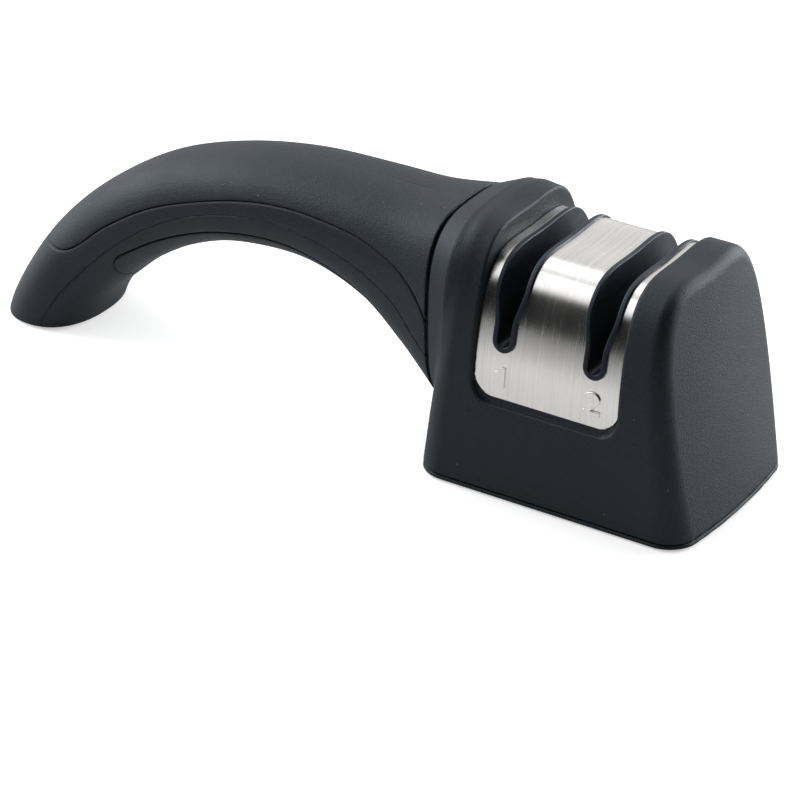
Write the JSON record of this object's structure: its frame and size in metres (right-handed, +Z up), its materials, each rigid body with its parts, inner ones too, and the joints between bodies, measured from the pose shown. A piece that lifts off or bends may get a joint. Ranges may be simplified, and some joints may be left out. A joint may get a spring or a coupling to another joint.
{
  "type": "manual knife sharpener",
  "caption": "Hand-held pull-through knife sharpener: a steel-topped head with slots over diamond wheels, and an arched handle that reaches down to the table.",
  "frame": {"origin": "middle of the part's box, on the table it rests on", "axes": "+X from the handle's tip to the head, +Y from the numbered front face to the back, +Z up"},
  "size_m": [0.2228, 0.057, 0.0693],
  "materials": {
    "matte_black_plastic": "fine moulded grain",
    "liner_plastic": "smooth satin",
    "soft_rubber": "soft matte",
    "cover_steel": "brushed along its length",
    "carrier_plastic": "moulded",
    "diamond_steel": "rough coat of diamond grit",
    "hub_plastic": "moulded",
    "bright_steel": "bright"
  },
  "bodies": {
    "sharpener": {"axle": "bright_steel", "axle_clip_left": "bright_steel", "axle_clip_right": "bright_steel", "base_plate": "matte_black_plastic", "base_screw_1": "bright_steel", "base_screw_2": "bright_steel", "base_screw_3": "bright_steel", "base_screw_4": "bright_steel", "carrier_screw_1": "bright_steel", "carrier_screw_2": "bright_steel", "carrier_screw_3": "bright_steel", "carrier_screw_4": "bright_steel", "handle_lower_shell": "matte_black_plastic", "handle_screw_1": "bright_steel", "handle_screw_2": "bright_steel", "handle_screw_3": "bright_steel", "handle_upper_shell": "matte_black_plastic", "head_housing": "matte_black_plastic", "neck_screw_1": "bright_steel", "neck_screw_2": "bright_steel", "rubber_foot_1": "soft_rubber", "rubber_foot_2": "soft_rubber", "rubber_foot_3": "soft_rubber", "rubber_foot_4": "soft_rubber", "slot_liner_1": "liner_plastic", "slot_liner_2": "liner_plastic", "steel_cover": "cover_steel", "tip_pad": "soft_rubber", "top_grip": "soft_rubber", "under_grip": "soft_rubber", "wheel_carrier": "carrier_plastic", "wheel_spring_1_left": "bright_steel", "wheel_spring_1_right": "bright_steel", "wheel_spring_2_left": "bright_steel", "wheel_spring_2_right": "bright_steel"},
    "wheel_1_left": {"diamond_cone_1_left": "diamond_steel", "wheel_hub_1_left": "hub_plastic"},
    "wheel_1_right": {"diamond_cone_1_right": "diamond_steel", "wheel_hub_1_right": "hub_plastic"},
    "wheel_2_left": {"diamond_cone_2_left": "diamond_steel", "wheel_hub_2_left": "hub_plastic"},
    "wheel_2_right": {"diamond_cone_2_right": "diamond_steel", "wheel_hub_2_right": "hub_plastic"}
  },
  "joints": [
    {"name": "wheel_1_left_spin", "type": "hinge", "parent": "sharpener", "child": "wheel_1_left", "pos_m": [0.05379, 0, 0.0385], "axis": [1, 0, 0], "continuous": true},
    {"name": "wheel_1_right_spin", "type": "hinge", "parent": "sharpener", "child": "wheel_1_right", "pos_m": [0.05954, 0, 0.0385], "axis": [1, 0, 0], "continuous": true},
    {"name": "wheel_2_left_spin", "type": "hinge", "parent": "sharpener", "child": "wheel_2_left", "pos_m": [0.07959, 0, 0.0385], "axis": [1, 0, 0], "continuous": true},
    {"name": "wheel_2_right_spin", "type": "hinge", "parent": "sharpener", "child": "wheel_2_right", "pos_m": [0.08534, 0, 0.0385], "axis": [1, 0, 0], "continuous": true}
  ]
}
